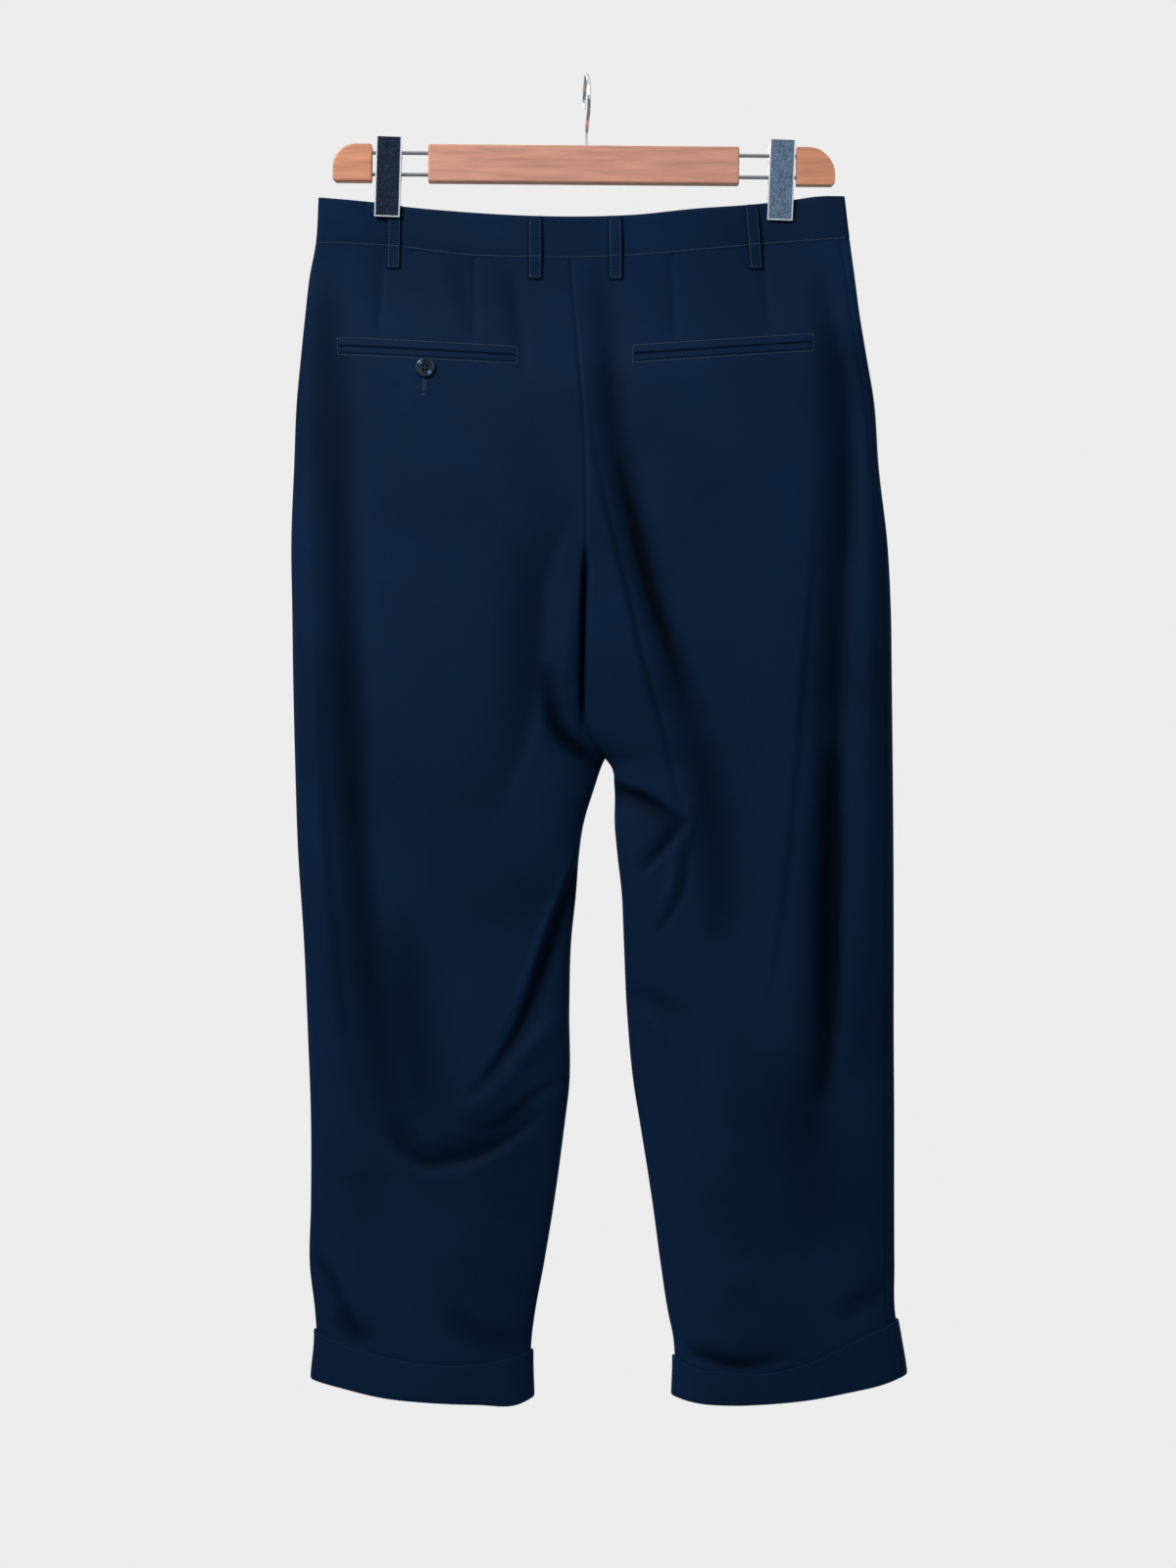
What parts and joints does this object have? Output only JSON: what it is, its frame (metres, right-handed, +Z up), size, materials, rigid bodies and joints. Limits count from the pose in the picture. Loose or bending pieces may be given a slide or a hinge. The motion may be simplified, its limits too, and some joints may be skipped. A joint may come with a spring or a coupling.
{
  "type": "pleated dress trousers on a clip trouser hanger",
  "caption": "Pleated navy dress trousers with turned-up cuffs, clipped by the waistband to a wooden trouser hanger with a wire hook.",
  "frame": {"origin": "seat of the hook, the lowest point of the inside of its top bend, where it rests on a rail", "axes": "+Z up; the fly faces -Y and the seat +Y; +X is the wearer's left"},
  "size_m": [0.5223, 0.0658, 1.1262],
  "materials": {
    "cloth": "smooth fine navy suiting with a soft sheen",
    "button": "polished dark navy button",
    "wood": "satin lacquered pinkish beech",
    "steel": "polished chrome plate"
  },
  "bodies": {
    "root": {"back_left": "cloth", "back_pocket_lower_jet_left": "cloth", "back_pocket_lower_jet_right": "cloth", "back_pocket_upper_jet_left": "cloth", "back_pocket_upper_jet_right": "cloth", "back_right": "cloth", "belt_loop_back_inner_left": "cloth", "belt_loop_back_inner_right": "cloth", "belt_loop_back_outer_left": "cloth", "belt_loop_back_outer_right": "cloth", "belt_loop_front_left": "cloth", "belt_loop_front_right": "cloth", "clip_plate_back_left": "steel", "clip_plate_back_right": "steel", "clip_plate_front_left": "steel", "clip_plate_front_right": "steel", "clip_saddle_left": "steel", "clip_saddle_right": "steel", "cuff_left": "cloth", "cuff_right": "cloth", "end_cap_left": "wood", "end_cap_right": "wood", "fly_shield": "cloth", "front_left": "cloth", "front_right": "cloth", "hook": "steel", "pocket_button": "button", "rod_lower_left": "steel", "rod_lower_right": "steel", "rod_upper_left": "steel", "rod_upper_right": "steel", "side_pocket_edge_left": "cloth", "side_pocket_edge_right": "cloth", "waist_button": "button", "waistband_back": "cloth", "waistband_front_left": "cloth", "waistband_front_right": "cloth", "wood_bar": "wood"}
  },
  "joints": []
}
